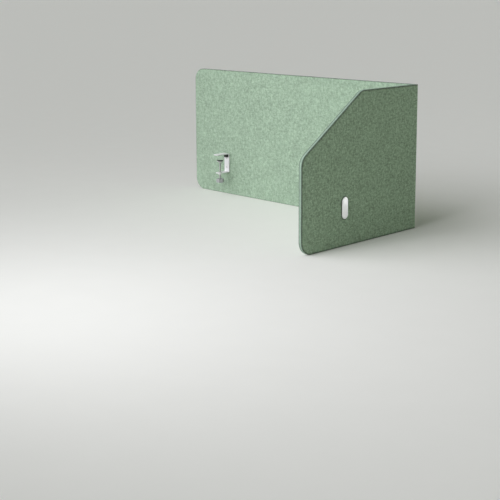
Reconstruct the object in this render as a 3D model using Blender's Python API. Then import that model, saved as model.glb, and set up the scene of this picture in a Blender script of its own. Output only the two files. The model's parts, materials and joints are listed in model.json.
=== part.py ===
"""Desk privacy panel: an L-shaped felt screen that clamps to the rear and right edges of a desktop.

Metres, +Z up. +X runs along the rear panel, +Y points away from the user, and the side wing points to -Y.
The origin is the centre of the underside of the object's box. The panel is shown clamped to a desktop.
"""

import math

import bmesh
import bpy
from mathutils import Matrix, Vector

# Felt sheet, folded at a V-groove
REAR_LENGTH = 1.224  # left end to the wing's outer face
WING_LENGTH = 0.629  # rear panel's outer face to the wing's front edge
HEIGHT = 0.544
FELT = 0.014
CORNER_RADIUS = 0.050
FOLD_CORNER_RADIUS = 0.002
SLOPE_START = 0.320  # along the wing's top edge, from the rear panel's outer face
SLOPE_END_HEIGHT = 0.332
SKIN = 0.002  # felt left at the foot of the groove
GAP = 0.0003  # between pieces that touch

# Desktop that the clamps hold
DESK_TOP = 0.176  # above the felt's lower edge
DESK_THICKNESS = 0.0235
DESK_GAP = 0.010  # desktop's edge to the felt
REAR_CLAMP_INSET = 0.205  # from the desktop's left and right ends
DESK_LENGTH = REAR_LENGTH - FELT - DESK_GAP
SIDE_CLAMP_OUT = 0.384  # from the desktop's rear edge

# Clamp bracket, one bent strip
BRACKET_WIDTH = 0.030
BRACKET_STEEL = 0.003
BRACKET_BEND = 0.002  # inner radius
BRACKET_CORNER = 0.007
TONGUE_REACH = 0.062
ARM_REACH = 0.050
WEB_DEPTH = 0.080  # from the desktop's upper face to the arm's underside
TONGUE_PAD = 0.001
TONGUE_PAD_START = 0.002  # in from the desktop's edge
TONGUE_PAD_CORNER = 0.005
PAD_MARGIN = 0.003  # steel left bare round the pad
BUMPER_MARGIN = 0.004
BUMPER_HEIGHT = 0.012
BUMPER_TOP = -0.0015
BUMPER_CORNER = 0.003

# Cover plate, and the screws into its two bosses
COVER_WIDTH = 0.031
COVER_HEIGHT = 0.078
COVER_THICKNESS = 0.0027
COVER_EDGE = 0.0011
COVER_CENTRE = -0.0385  # from the desktop's upper face
BOSS_RADIUS = 0.0040
BOSS_BORE = 0.00235
SCREW_SPACING = 0.039
SCREW_RADIUS = 0.0020
SCREW_LENGTH = 0.014
SCREW_HEAD_RADIUS = 0.0040
SCREW_HEAD_HEIGHT = 0.0022
SCREW_CLEARANCE = 0.0003
SOCKET_KEY_RADIUS = 0.00145
SOCKET_KEY_DEPTH = 0.0013

# Spindle, knob and foot, measured along the spindle's axis
SPINDLE_OUT = 0.034  # from the desktop's edge
SPINDLE_RADIUS = 0.0040
SPINDLE_HOLE_RADIUS = 0.0050
NUT_BORE_RADIUS = 0.0044
NUT_ACROSS_FLATS = 0.013
NUT_HEIGHT = 0.0065
KNOB_RADIUS = 0.0170
KNOB_LOBE = 0.0014
KNOB_LOBES = 6
KNOB_HEIGHT = 0.016
KNOB_EDGE = 0.0015
KNOB_TOP = -0.105
KNOB_BORE_DEPTH = 0.012
FOOT_RADIUS = 0.014
FOOT_PAD = 0.002
FOOT_HEIGHT = 0.0092
BALL_RADIUS = 0.0035
NECK_RADIUS = 0.0024
SOCKET_RADIUS = 0.00385
LIP_RADIUS = 0.0029

ROUND_STEPS = 18
SMALL_ROUND_STEPS = 12
ARC_STEP = math.radians(15)
FELT_ARC_STEP = math.radians(7.5)
SMOOTH_ANGLE = math.radians(32)
RIGHT = Vector((1, 0, 0))
AWAY = Vector((0, 1, 0))
UP = Vector((0, 0, 1))

COVER_PROUD = GAP + COVER_THICKNESS
OUTER_X = (REAR_LENGTH - COVER_PROUD) / 2
OUTER_Y = (WING_LENGTH - COVER_PROUD) / 2
FOLD_AXIS = Vector((OUTER_X - SKIN / 2, OUTER_Y - SKIN / 2, 0))
DESK_REAR_Y = OUTER_Y - FELT - DESK_GAP
DESK_RIGHT_X = OUTER_X - FELT - DESK_GAP
WEB_OUTER = -DESK_GAP + GAP
WEB_INNER = WEB_OUTER + BRACKET_STEEL

MATERIALS = {
    "felt": ((0.355, 0.485, 0.360, 1), 0.95, 0.0),
    "white_steel": ((0.80, 0.81, 0.80, 1), 0.40, 0.0),
    "satin_aluminium": ((0.86, 0.87, 0.86, 1), 0.35, 1.0),
    "grey_plastic": ((0.36, 0.37, 0.37, 1), 0.50, 0.0),
    "rubber": ((0.045, 0.045, 0.047, 1), 0.80, 0.0),
    "zinc": ((0.58, 0.59, 0.60, 1), 0.32, 1.0),
}


def clear_scene():
    for obj in list(bpy.data.objects):
        bpy.data.objects.remove(obj)


def make_material(name, color, roughness, metallic):
    material = bpy.data.materials.new(name)
    material.use_nodes = True
    surface = material.node_tree.nodes["Principled BSDF"]
    surface.inputs["Base Color"].default_value = color
    surface.inputs["Roughness"].default_value = roughness
    surface.inputs["Metallic"].default_value = metallic
    return material


# Shapes


def rounded_outline(corners, arc_step=ARC_STEP):
    """Points of a closed outline whose corners, each (across, up, radius), are rounded to arcs."""
    points = []
    for index, (across, up, radius) in enumerate(corners):
        corner = Vector((across, up))
        if radius == 0:
            points.append(corner)
            continue
        back = (Vector(corners[index - 1][:2]) - corner).normalized()
        onward = (Vector(corners[(index + 1) % len(corners)][:2]) - corner).normalized()
        half = back.angle(onward) / 2
        centre = corner + (back + onward).normalized() * radius / math.sin(half)
        start = corner + back * radius / math.tan(half) - centre
        end = corner + onward * radius / math.tan(half) - centre
        first = math.atan2(start.y, start.x)
        turn = (math.atan2(end.y, end.x) - first + math.pi) % (2 * math.pi) - math.pi
        steps = max(2, round(abs(turn) / arc_step))
        for step in range(steps + 1):
            angle = first + turn * step / steps
            points.append(centre + Vector((math.cos(angle), math.sin(angle))) * radius)
    return points


def prism(outline, across, up, through, low, high):
    """An outline in the plane of across and up, extruded along through from low to high."""
    shape = bmesh.new()
    ring = [shape.verts.new(across * a + up * b + through * low) for a, b in outline]
    face = shape.faces.new(ring)
    grown = bmesh.ops.extrude_face_region(shape, geom=[face])
    moved = [item for item in grown["geom"] if isinstance(item, bmesh.types.BMVert)]
    bmesh.ops.translate(shape, verts=moved, vec=through * (high - low))
    return shape


def turned(profile, at=(0, 0, 0), along=UP, steps=ROUND_STEPS):
    """A profile of (radius, height) points from axis to axis, spun round the line through at."""
    shape = bmesh.new()
    points = [shape.verts.new((radius, 0, height)) for radius, height in profile]
    edges = [shape.edges.new(pair) for pair in zip(points, points[1:])]
    bmesh.ops.spin(
        shape,
        geom=points + edges,
        cent=(0, 0, 0),
        axis=UP,
        angle=2 * math.pi,
        steps=steps,
        use_merge=True,
    )
    bmesh.ops.remove_doubles(shape, verts=shape.verts, dist=1e-6)
    turn = Vector(along).to_track_quat("Z", "Y").to_matrix().to_4x4()
    shape.transform(Matrix.Translation(at) @ turn)
    return shape


def round_bar(radius, low, high, at=(0, 0, 0), along=UP, steps=ROUND_STEPS):
    return turned([(0, high), (radius, high), (radius, low), (0, low)], at, along, steps)


def soften(shape, chosen, offset, segments):
    """Rounds the edges of a shape that the test chosen picks out."""
    edges = [edge for edge in shape.edges if chosen(edge)]
    bmesh.ops.bevel(shape, geom=edges, offset=offset, segments=segments, affect="EDGES", profile=0.5)


def finished(shape, name):
    """The shape as a mesh with its faces pointing out, smooth except at its sharp edges."""
    bmesh.ops.recalc_face_normals(shape, faces=shape.faces)
    if shape.calc_volume(signed=True) < 0:
        bmesh.ops.reverse_faces(shape, faces=shape.faces)
    mesh = bpy.data.meshes.new(name)
    shape.to_mesh(mesh)
    shape.free()
    mesh.shade_smooth()
    mesh.set_sharp_from_angle(angle=SMOOTH_ANGLE)
    return mesh


def combined(base, tool, operation):
    """The base mesh with the tool mesh cut away or joined on."""
    holder = bpy.data.objects.new("boolean_base", base)
    other = bpy.data.objects.new("boolean_tool", tool)
    bpy.context.scene.collection.objects.link(holder)
    bpy.context.scene.collection.objects.link(other)
    modifier = holder.modifiers.new("combine", "BOOLEAN")
    modifier.object = other
    modifier.operation = operation
    modifier.solver = "EXACT"
    graph = bpy.context.evaluated_depsgraph_get()
    result = bpy.data.meshes.new_from_object(holder.evaluated_get(graph), depsgraph=graph)
    bpy.data.objects.remove(holder)
    bpy.data.objects.remove(other)
    result.name = base.name
    return result


def without(base, *tools):
    for tool in tools:
        base = combined(base, finished(tool, "cutter"), "DIFFERENCE")
    return base


# Felt panels, each in a frame whose Z axis is the fold's axis


def felt_sheet(name, corners, away, inward, screw_columns):
    """A sheet that runs away from the fold, mitred there, with holes for the cover plates' bosses."""
    outer = -SKIN / 2
    inner = FELT - SKIN / 2
    outline = rounded_outline(corners, FELT_ARC_STEP)
    shape = prism(outline, away, UP, inward, outer, inner)
    mitre = (inward - away).normalized()
    bmesh.ops.bisect_plane(
        shape,
        geom=shape.verts[:] + shape.edges[:] + shape.faces[:],
        plane_co=mitre * -GAP / 2,
        plane_no=mitre,
        clear_outer=True,
    )
    bmesh.ops.holes_fill(shape, edges=shape.edges)
    sheet = finished(shape, name)
    relief = round_bar(SKIN / 2 + GAP, -SKIN, HEIGHT + SKIN)
    holes = []
    for column in screw_columns:
        for height in screw_heights(DESK_TOP):
            at = away * column + UP * height
            radius = BOSS_RADIUS + GAP
            holes.append(round_bar(radius, outer - GAP, inner + GAP, at, inward, SMALL_ROUND_STEPS))
    return without(sheet, relief, *holes)


def screw_heights(desk_top):
    middle = desk_top + COVER_CENTRE
    return (middle - SCREW_SPACING / 2, middle + SCREW_SPACING / 2)


def rear_panel_mesh():
    far = REAR_LENGTH - SKIN / 2
    near = -SKIN / 2
    corners = [
        (near, 0, FOLD_CORNER_RADIUS),
        (near, HEIGHT, 0),
        (far, HEIGHT, CORNER_RADIUS),
        (far, 0, CORNER_RADIUS),
    ]
    corner_to_desk = FOLD_AXIS.x - DESK_RIGHT_X
    columns = [
        corner_to_desk + REAR_CLAMP_INSET,
        corner_to_desk + DESK_LENGTH - REAR_CLAMP_INSET,
    ]
    return felt_sheet("rear_panel", corners, -RIGHT, -AWAY, columns)


def side_panel_mesh():
    far = WING_LENGTH - SKIN / 2
    near = -SKIN / 2
    corners = [
        (near, 0, FOLD_CORNER_RADIUS),
        (near, HEIGHT, 0),
        (near + SLOPE_START, HEIGHT, CORNER_RADIUS),
        (far, SLOPE_END_HEIGHT, CORNER_RADIUS),
        (far, 0, CORNER_RADIUS),
    ]
    column = FOLD_AXIS.y - DESK_REAR_Y + SIDE_CLAMP_OUT
    return felt_sheet("side_panel", corners, -AWAY, -RIGHT, [column])


def fold_skin_mesh():
    return finished(round_bar(SKIN / 2, SKIN, HEIGHT - SKIN), "fold_skin")


# Clamp, in a frame at the desktop's upper edge: +X along the edge, +Y in over the desktop, +Z up


def bracket_mesh():
    tongue_low = TONGUE_PAD + GAP
    tongue_high = tongue_low + BRACKET_STEEL
    arm_low = -WEB_DEPTH
    arm_high = arm_low + BRACKET_STEEL
    outer_bend = BRACKET_BEND + BRACKET_STEEL
    corners = [
        (TONGUE_REACH, tongue_high, 0),
        (WEB_OUTER, tongue_high, outer_bend),
        (WEB_OUTER, arm_low, outer_bend),
        (ARM_REACH, arm_low, 0),
        (ARM_REACH, arm_high, 0),
        (WEB_INNER, arm_high, BRACKET_BEND),
        (WEB_INNER, tongue_low, BRACKET_BEND),
        (TONGUE_REACH, tongue_low, 0),
    ]
    half = BRACKET_WIDTH / 2
    shape = prism(rounded_outline(corners), AWAY, UP, RIGHT, -half, half)

    def at_a_free_corner(edge):
        first, second = (vertex.co for vertex in edge.verts)
        upright = abs(abs(first.z - second.z) - BRACKET_STEEL) < GAP
        return upright and first.y == second.y and first.y > WEB_INNER + outer_bend

    soften(shape, at_a_free_corner, BRACKET_CORNER, 4)
    holes = [countersink(height) for height in screw_heights(0)]
    spindle_hole = round_bar(
        SPINDLE_HOLE_RADIUS,
        arm_low - GAP,
        arm_high + GAP,
        AWAY * SPINDLE_OUT,
    )
    return without(finished(shape, "bracket"), spindle_hole, *holes)


def countersink(height):
    """The hole for a flush-headed screw in the web, open past both of its faces."""
    through = BRACKET_STEEL + GAP
    hole_radius = SCREW_RADIUS + SCREW_CLEARANCE
    profile = [
        (0, GAP),
        (SCREW_HEAD_RADIUS + SCREW_CLEARANCE + GAP, GAP),
        (hole_radius, -SCREW_HEAD_HEIGHT),
        (hole_radius, -through),
        (0, -through),
    ]
    return turned(profile, (0, WEB_INNER, height), AWAY, SMALL_ROUND_STEPS)


def screw_mesh():
    """A countersunk screw with a hexagon socket, its head flush with the web's inner face."""
    profile = [
        (0, 0),
        (SCREW_HEAD_RADIUS, 0),
        (SCREW_RADIUS, -SCREW_HEAD_HEIGHT),
        (SCREW_RADIUS, -SCREW_LENGTH + SCREW_RADIUS / 2),
        (SCREW_RADIUS / 2, -SCREW_LENGTH),
        (0, -SCREW_LENGTH),
    ]
    hexagon = regular_outline(6, SOCKET_KEY_RADIUS)
    socket = prism(hexagon, RIGHT, UP, AWAY, -SOCKET_KEY_DEPTH, GAP)
    body = turned(profile, along=AWAY, steps=SMALL_ROUND_STEPS)
    return without(finished(body, "screw"), socket)


def regular_outline(sides, radius):
    angles = [2 * math.pi * side / sides for side in range(sides)]
    return [(radius * math.cos(angle), radius * math.sin(angle)) for angle in angles]


def cover_plate_mesh():
    """A pill-shaped plate against the felt's outer face, with two bored bosses that pass through the felt."""
    half_width = COVER_WIDTH / 2
    half_height = COVER_HEIGHT / 2
    back = -DESK_GAP - FELT - GAP
    front = back - COVER_THICKNESS
    corners = [
        (-half_width, COVER_CENTRE - half_height, half_width),
        (half_width, COVER_CENTRE - half_height, half_width),
        (half_width, COVER_CENTRE + half_height, half_width),
        (-half_width, COVER_CENTRE + half_height, half_width),
    ]
    outline = rounded_outline(corners)
    shape = prism(outline, RIGHT, UP, AWAY, front, back)
    bmesh.ops.remove_doubles(shape, verts=shape.verts, dist=1e-6)

    def on_the_rim(edge):
        is_front = all(vertex.co.y < front + GAP for vertex in edge.verts)
        return is_front and len(edge.link_faces) == 2

    soften(shape, on_the_rim, COVER_EDGE, 2)
    plate = finished(shape, "cover_plate")
    boss_end = -DESK_GAP
    root = back - COVER_THICKNESS / 2
    for height in screw_heights(0):
        profile = [
            (0, root),
            (BOSS_RADIUS, root),
            (BOSS_RADIUS, boss_end),
            (BOSS_BORE, boss_end),
            (BOSS_BORE, back),
            (0, back),
        ]
        boss = turned(profile, UP * height, AWAY, SMALL_ROUND_STEPS)
        plate = combined(plate, finished(boss, "boss"), "UNION")
    return plate


def tongue_pad_mesh():
    half = BRACKET_WIDTH / 2 - PAD_MARGIN
    near = TONGUE_PAD_START
    far = TONGUE_REACH - PAD_MARGIN
    radius = TONGUE_PAD_CORNER
    corners = [(-half, near, radius), (half, near, radius), (half, far, radius), (-half, far, radius)]
    return finished(prism(rounded_outline(corners), RIGHT, AWAY, UP, 0, TONGUE_PAD), "tongue_pad")


def edge_bumper_mesh():
    half = BRACKET_WIDTH / 2 - BUMPER_MARGIN
    top = BUMPER_TOP
    low = top - BUMPER_HEIGHT
    radius = BUMPER_CORNER
    corners = [(-half, low, radius), (half, low, radius), (half, top, radius), (-half, top, radius)]
    shape = prism(rounded_outline(corners), RIGHT, UP, AWAY, WEB_INNER + GAP, 0)
    return finished(shape, "edge_bumper")


def weld_nut_mesh():
    top = -WEB_DEPTH - GAP
    low = top - NUT_HEIGHT
    corner_radius = NUT_ACROSS_FLATS / 2 / math.cos(math.pi / 6)
    hexagon = prism(regular_outline(6, corner_radius), RIGHT, AWAY, UP, low, top)
    bore = round_bar(NUT_BORE_RADIUS, low - GAP, top + GAP)
    chamfer = NUT_ACROSS_FLATS / 2 * 0.97
    rim = corner_radius + GAP
    drop = (rim - chamfer) * math.tan(math.radians(30))
    cone = turned([(0, top), (rim, top), (rim, low + drop), (chamfer, low), (0, low)])
    nut = combined(finished(hexagon, "weld_nut"), finished(cone, "cone"), "INTERSECT")
    return without(nut, bore)


# Spindle, knob and foot, in a frame on the spindle's axis at the height of the desktop's upper face

FOOT_TOP = -DESK_THICKNESS - FOOT_PAD - GAP
SOCKET_TOP = FOOT_TOP - 0.0015
BALL_CENTRE = SOCKET_TOP - 0.0004 - BALL_RADIUS
FOOT_LOW = FOOT_TOP - FOOT_HEIGHT


def foot_pad_mesh():
    top = -DESK_THICKNESS
    edge = 0.0005
    radius = FOOT_RADIUS - 0.001
    low = top - FOOT_PAD
    profile = [(0, top), (radius - edge, top), (radius, top - edge), (radius, low), (0, low)]
    return finished(turned(profile), "foot_pad")


def foot_mesh():
    """A pressure disc with a socket that holds the spindle's ball."""
    disc_low = FOOT_TOP - 0.0025
    boss_radius = 0.0070
    lip_top = FOOT_LOW + 0.0011
    profile = [
        (0, FOOT_TOP),
        (FOOT_RADIUS - 0.0006, FOOT_TOP),
        (FOOT_RADIUS, FOOT_TOP - 0.0006),
        (FOOT_RADIUS, disc_low),
        (boss_radius + 0.0005, disc_low - 0.0008),
        (boss_radius - 0.0005, FOOT_LOW),
        (LIP_RADIUS, FOOT_LOW),
        (LIP_RADIUS, lip_top),
        (SOCKET_RADIUS, lip_top + 0.0008),
        (SOCKET_RADIUS, SOCKET_TOP - 0.0010),
        (SOCKET_RADIUS - 0.0008, SOCKET_TOP),
        (0, SOCKET_TOP),
    ]
    return finished(turned(profile), "foot")


def spindle_mesh():
    """A screw with a ball end at the top. Its lower end is set in the knob."""
    ball_steps = 5
    neck_angle = math.pi - math.asin(NECK_RADIUS / BALL_RADIUS)
    profile = []
    for step in range(ball_steps + 1):
        angle = neck_angle * step / ball_steps
        radius = BALL_RADIUS * math.sin(angle) if step else 0
        profile.append((radius, BALL_CENTRE + BALL_RADIUS * math.cos(angle)))
    shoulder = FOOT_LOW - 0.0008
    end = KNOB_TOP - KNOB_BORE_DEPTH + GAP
    chamfer = 0.0008
    profile += [
        (NECK_RADIUS, shoulder),
        (SPINDLE_RADIUS - chamfer, shoulder),
        (SPINDLE_RADIUS, shoulder - chamfer),
        (SPINDLE_RADIUS, end),
        (0, end),
    ]
    return finished(turned(profile), "spindle")


def knob_mesh():
    """A lobed knob with a blind bore for the spindle's lower end."""
    points = KNOB_LOBES * 6
    outline = []
    for point in range(points):
        angle = 2 * math.pi * point / points
        radius = KNOB_RADIUS - KNOB_LOBE + KNOB_LOBE * math.cos(KNOB_LOBES * angle)
        outline.append((radius * math.cos(angle), radius * math.sin(angle)))
    low = KNOB_TOP - KNOB_HEIGHT
    shape = prism(outline, RIGHT, AWAY, UP, low, KNOB_TOP)

    def on_a_rim(edge):
        first, second = edge.verts
        return abs(first.co.z - second.co.z) < GAP

    soften(shape, on_a_rim, KNOB_EDGE, 1)
    bore = round_bar(SPINDLE_RADIUS + GAP, KNOB_TOP - KNOB_BORE_DEPTH, KNOB_TOP + GAP)
    return without(finished(shape, "knob"), bore)


# Assembly


def place_empty(name, location, parent=None, turn=0.0):
    empty = bpy.data.objects.new(name, None)
    empty.location = location
    empty.rotation_euler.z = turn
    empty.parent = parent
    bpy.context.scene.collection.objects.link(empty)
    return empty


def place(name, mesh, material, parent, location=(0, 0, 0)):
    obj = bpy.data.objects.new(name, mesh)
    if not mesh.materials:
        mesh.materials.append(material)
    obj.parent = parent
    obj.location = location
    bpy.context.scene.collection.objects.link(obj)


def place_clamp(name, edge_point, turn, parent, shapes, materials):
    """One whole clamp. Its foot rises along the spindle's axis, and the spindle and knob also turn on it."""
    clamp = place_empty(f"{name}_clamp", edge_point, parent, turn)
    axis = place_empty(f"{name}_spindle_axis", AWAY * SPINDLE_OUT, clamp)
    low_screw, high_screw = (Vector((0, WEB_INNER, height)) for height in screw_heights(0))
    pieces = [
        ("bracket", "bracket", "white_steel", clamp, (0, 0, 0)),
        ("tongue_pad", "tongue_pad", "rubber", clamp, (0, 0, 0)),
        ("edge_bumper", "edge_bumper", "rubber", clamp, (0, 0, 0)),
        ("cover_plate", "cover_plate", "satin_aluminium", clamp, (0, 0, 0)),
        ("upper_screw", "screw", "zinc", clamp, high_screw),
        ("lower_screw", "screw", "zinc", clamp, low_screw),
        ("weld_nut", "weld_nut", "white_steel", axis, (0, 0, 0)),
        ("foot", "foot", "zinc", axis, (0, 0, 0)),
        ("foot_pad", "foot_pad", "rubber", axis, (0, 0, 0)),
        ("spindle", "spindle", "zinc", axis, (0, 0, 0)),
        ("knob", "knob", "grey_plastic", axis, (0, 0, 0)),
    ]
    for piece, shape, material, holder, location in pieces:
        place(f"{name}_{piece}", shapes[shape], materials[material], holder, location)


def build():
    clear_scene()
    materials = {name: make_material(name, *look) for name, look in MATERIALS.items()}
    shapes = {
        "bracket": bracket_mesh(),
        "tongue_pad": tongue_pad_mesh(),
        "edge_bumper": edge_bumper_mesh(),
        "cover_plate": cover_plate_mesh(),
        "screw": screw_mesh(),
        "weld_nut": weld_nut_mesh(),
        "foot": foot_mesh(),
        "foot_pad": foot_pad_mesh(),
        "spindle": spindle_mesh(),
        "knob": knob_mesh(),
    }
    rear = place_empty("rear_fold_side", FOLD_AXIS)
    wing = place_empty("fold_hinge", FOLD_AXIS)
    place("rear_panel", rear_panel_mesh(), materials["felt"], rear)
    place("fold_skin", fold_skin_mesh(), materials["felt"], rear)
    place("side_panel", side_panel_mesh(), materials["felt"], wing)

    left_x = DESK_RIGHT_X - DESK_LENGTH + REAR_CLAMP_INSET
    right_x = DESK_RIGHT_X - REAR_CLAMP_INSET
    half_turn = math.pi
    quarter_turn = math.pi / 2
    left_edge = Vector((left_x, DESK_REAR_Y, DESK_TOP))
    right_edge = Vector((right_x, DESK_REAR_Y, DESK_TOP))
    side_edge = Vector((DESK_RIGHT_X, DESK_REAR_Y - SIDE_CLAMP_OUT, DESK_TOP))
    place_clamp("rear_left", left_edge - FOLD_AXIS, half_turn, rear, shapes, materials)
    place_clamp("rear_right", right_edge - FOLD_AXIS, half_turn, rear, shapes, materials)
    place_clamp("side", side_edge - FOLD_AXIS, quarter_turn, wing, shapes, materials)


build()
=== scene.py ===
"""Looks of the desk privacy panel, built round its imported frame.

One felt sheet, V-grooved and folded, stands for the frame's two panels and the skin between them.
Each clamp's pieces are made again with fine edges, a real thread and their own finishes.
Metres, +Z up. A clamp's own frame starts at the desktop's upper edge: +Y in over the desktop, +Z up.
"""

import json
import math

import bmesh
import bpy
import numpy as np
from mathutils import Matrix, Vector, noise


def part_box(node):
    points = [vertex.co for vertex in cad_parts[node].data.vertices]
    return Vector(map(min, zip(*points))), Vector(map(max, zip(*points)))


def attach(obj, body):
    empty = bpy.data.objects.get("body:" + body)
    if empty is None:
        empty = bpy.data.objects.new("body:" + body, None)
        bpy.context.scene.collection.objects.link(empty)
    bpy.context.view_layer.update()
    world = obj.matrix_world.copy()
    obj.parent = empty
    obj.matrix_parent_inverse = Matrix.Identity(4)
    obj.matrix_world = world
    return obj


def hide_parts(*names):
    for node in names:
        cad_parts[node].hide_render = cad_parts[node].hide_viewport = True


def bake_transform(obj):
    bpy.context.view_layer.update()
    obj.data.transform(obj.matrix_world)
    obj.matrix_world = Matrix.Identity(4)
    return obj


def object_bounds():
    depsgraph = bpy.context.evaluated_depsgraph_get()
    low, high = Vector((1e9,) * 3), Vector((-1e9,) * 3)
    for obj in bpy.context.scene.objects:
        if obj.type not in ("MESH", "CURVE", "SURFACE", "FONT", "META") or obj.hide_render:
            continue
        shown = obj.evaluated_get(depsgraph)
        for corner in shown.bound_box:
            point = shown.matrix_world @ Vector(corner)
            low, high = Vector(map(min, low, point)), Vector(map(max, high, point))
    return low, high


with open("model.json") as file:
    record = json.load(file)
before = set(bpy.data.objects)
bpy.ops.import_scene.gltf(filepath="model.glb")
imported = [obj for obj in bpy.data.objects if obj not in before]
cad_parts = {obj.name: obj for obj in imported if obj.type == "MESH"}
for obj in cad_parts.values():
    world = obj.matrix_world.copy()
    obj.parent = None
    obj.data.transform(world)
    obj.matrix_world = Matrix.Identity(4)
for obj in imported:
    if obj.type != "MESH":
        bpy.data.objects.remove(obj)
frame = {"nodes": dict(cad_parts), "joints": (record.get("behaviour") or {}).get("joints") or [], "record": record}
cad_low, cad_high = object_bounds()

RIGHT = Vector((1, 0, 0))
AWAY = Vector((0, 1, 0))
UP = Vector((0, 0, 1))
TINY = 1e-6
CLAMPS = ("rear_left", "rear_right", "side")
HOSTS = {"rear_left": "rear_panel", "rear_right": "rear_panel", "side": "side_wing"}

# Felt sheet
CORNER_RADIUS = 0.050
SLOPE_START = 0.320  # along the wing's top edge, from the rear panel's outer face
SLOPE_END_HEIGHT = 0.332
SKIN = 0.002  # felt left at the foot of the groove
CUT_EDGE_ROUND = 0.0011
RIM_SHADE_BAND = 0.0070  # strip along the cut edge that is painted darker, as shade at the rim; the ring of faces along the edge is as wide
PLATE_SHADOW_BAND = 0.0060  # strip round a cover plate that is painted darker, as the plate's contact shadow
# how dark the painted contact shadow is at a plate's rim; the bump is dented there too
PLATE_SHADOW_LEVEL = 0.42
SHEET_MIDDLE = -0.006  # middle of the sheet's thickness, out from the fold's axis
GROOVE_CLEARANCE = 0.00042
BEND_HALF = 0.0005  # half of the skin that bends, on its outer face
BOSS_HOLE_RADIUS = 0.0043
CUTTER_PAST = 0.002  # how far a cutter reaches past the sheet
GRID = 0.010
WAVE_HEIGHT = 0.00022
WAVE_LENGTH = 0.16

# Clamp pieces
GAP = 0.0003
STEEL = 0.003
BEND_RADIUS = 0.002
BRACKET_CORNER = 0.007
BURR_ROUND = 0.00035
TONGUE_PAD_CORNER = 0.005
TONGUE_PAD_EDGE = 0.0003
BUMPER_CORNER = 0.003
BUMPER_EDGE = 0.0008
SCREW_SPACING = 0.039
SCREW_HEAD_RADIUS = 0.0040
SCREW_HEAD_HEIGHT = 0.0022
SCREW_RADIUS = 0.0020
SCREW_CLEARANCE = 0.0003
SCREW_PITCH = 0.0007
SCREW_THREAD_DEPTH = 0.0003
SCREW_HEAD_RIM = 0.0002
SPINDLE_HOLE_RADIUS = 0.0050
ARM_PAST_SPINDLE = 0.016
COVER_THICKNESS = 0.0027
COVER_EDGE = 0.0011
BOSS_RADIUS = 0.0040
BOSS_BORE = 0.00235
KEY_RADIUS = 0.00145
KEY_DEPTH = 0.0013
NUT_BORE_RADIUS = 0.0044
NUT_CHAMFER = 0.97  # the flat's share of the hexagon's inner circle
NUT_CHAMFER_SLOPE = math.radians(30)
NUT_LEAD_WIDTH = 0.0006
NUT_LEAD_START = 0.0002
NUT_LEAD_DEPTH = 0.0004
THREAD_PITCH = 0.00125
THREAD_DEPTH = 0.00077
SPINDLE_RADIUS = 0.0040
BALL_RADIUS = 0.0035
NECK_RADIUS = 0.0024
SHOULDER_DROP = 0.0008  # the spindle's shoulder, below the foot
SHOULDER_EDGE = 0.0004
THREAD_START = 0.0002
THREAD_STEPS = 8  # rings in one pitch
KNOB_LOBES = 6
KNOB_LOBE_STEPS = 20
KNOB_LOBE = 0.0014
KNOB_EDGE = 0.0015
KNOB_BORE_DEPTH = 0.012
KNOB_DISH = 0.0007
KNOB_LOWER_DISH = (0.0110, 0.0118)  # radii of the dish's floor and rim
KNOB_UPPER_DISH = (0.0071, 0.0078, 0.0117, 0.0124)  # rim, floor, floor and rim of a ring-shaped dish
FOOT_EDGE = 0.0006
FOOT_FLAT = 0.0012  # how far the foot's flat top stops short of its rim
FOOT_DISC = 0.0025  # thickness of the foot's disc
FOOT_HUB_TOP = 0.0075
FOOT_HUB_BOTTOM = 0.0066
FOOT_HUB_DROP = 0.0008
FOOT_FILLET = 0.0010
FOOT_HUB_EDGE = 0.0004
SOCKET_CLEARANCE = 0.00035
SOCKET_ROOF = 0.0015  # metal over the socket
SOCKET_EDGE = 0.0010
SOCKET_ROOF_EDGE = 0.0008
SOCKET_MOUTH = 0.0029
SOCKET_MOUTH_EDGE = 0.0003
SOCKET_MOUTH_TOP = 0.0011
SOCKET_WALL_FOOT = 0.0019
PAD_GROOVES = (0.003, 0.006, 0.009)  # radii of the foot pad's ring grooves
PAD_GROOVE_DEPTH = 0.0004
PAD_EDGE = 0.0005
PAD_BURR = 0.0002
FINE_ROUND = 72
SMALL_ROUND = 40
ARC_STEP = math.radians(5)
OUTLINE_ARC_STEP = math.radians(3)
SMOOTH_ANGLE = math.radians(38)
WORN_ANGLE = math.radians(40)  # a bend this sharp counts as a full edge for wear


# Shapes


def rounded_outline(corners, arc_step=ARC_STEP):
    """Points of a closed outline whose corners, each (across, up, radius), are rounded to arcs."""
    points = []
    for index, (across, up, radius) in enumerate(corners):
        corner = Vector((across, up))
        if radius == 0:
            points.append(corner)
            continue
        back = (Vector(corners[index - 1][:2]) - corner).normalized()
        onward = (Vector(corners[(index + 1) % len(corners)][:2]) - corner).normalized()
        half = back.angle(onward) / 2
        centre = corner + (back + onward).normalized() * radius / math.sin(half)
        start = corner + back * radius / math.tan(half) - centre
        end = corner + onward * radius / math.tan(half) - centre
        first = math.atan2(start.y, start.x)
        turn = (math.atan2(end.y, end.x) - first + math.pi) % (2 * math.pi) - math.pi
        steps = max(2, round(abs(turn) / arc_step))
        for step in range(steps + 1):
            angle = first + turn * step / steps
            points.append(centre + Vector((math.cos(angle), math.sin(angle))) * radius)
    return points


def box_outline(low, high, radius):
    """A rounded rectangle's outline between two (across, up) corners."""
    return rounded_outline([
        (low[0], low[1], radius),
        (high[0], low[1], radius),
        (high[0], high[1], radius),
        (low[0], high[1], radius),
    ])


def prism(outline, across, up, through, low, high):
    """An outline in the plane of across and up, extruded along through from low to high."""
    shape = bmesh.new()
    ring = [shape.verts.new(across * a + up * b + through * low) for a, b in outline]
    face = shape.faces.new(ring)
    grown = bmesh.ops.extrude_face_region(shape, geom=[face])
    moved = [item for item in grown["geom"] if isinstance(item, bmesh.types.BMVert)]
    bmesh.ops.translate(shape, verts=moved, vec=through * (high - low))
    bmesh.ops.remove_doubles(shape, verts=shape.verts, dist=TINY)
    return shape


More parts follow.
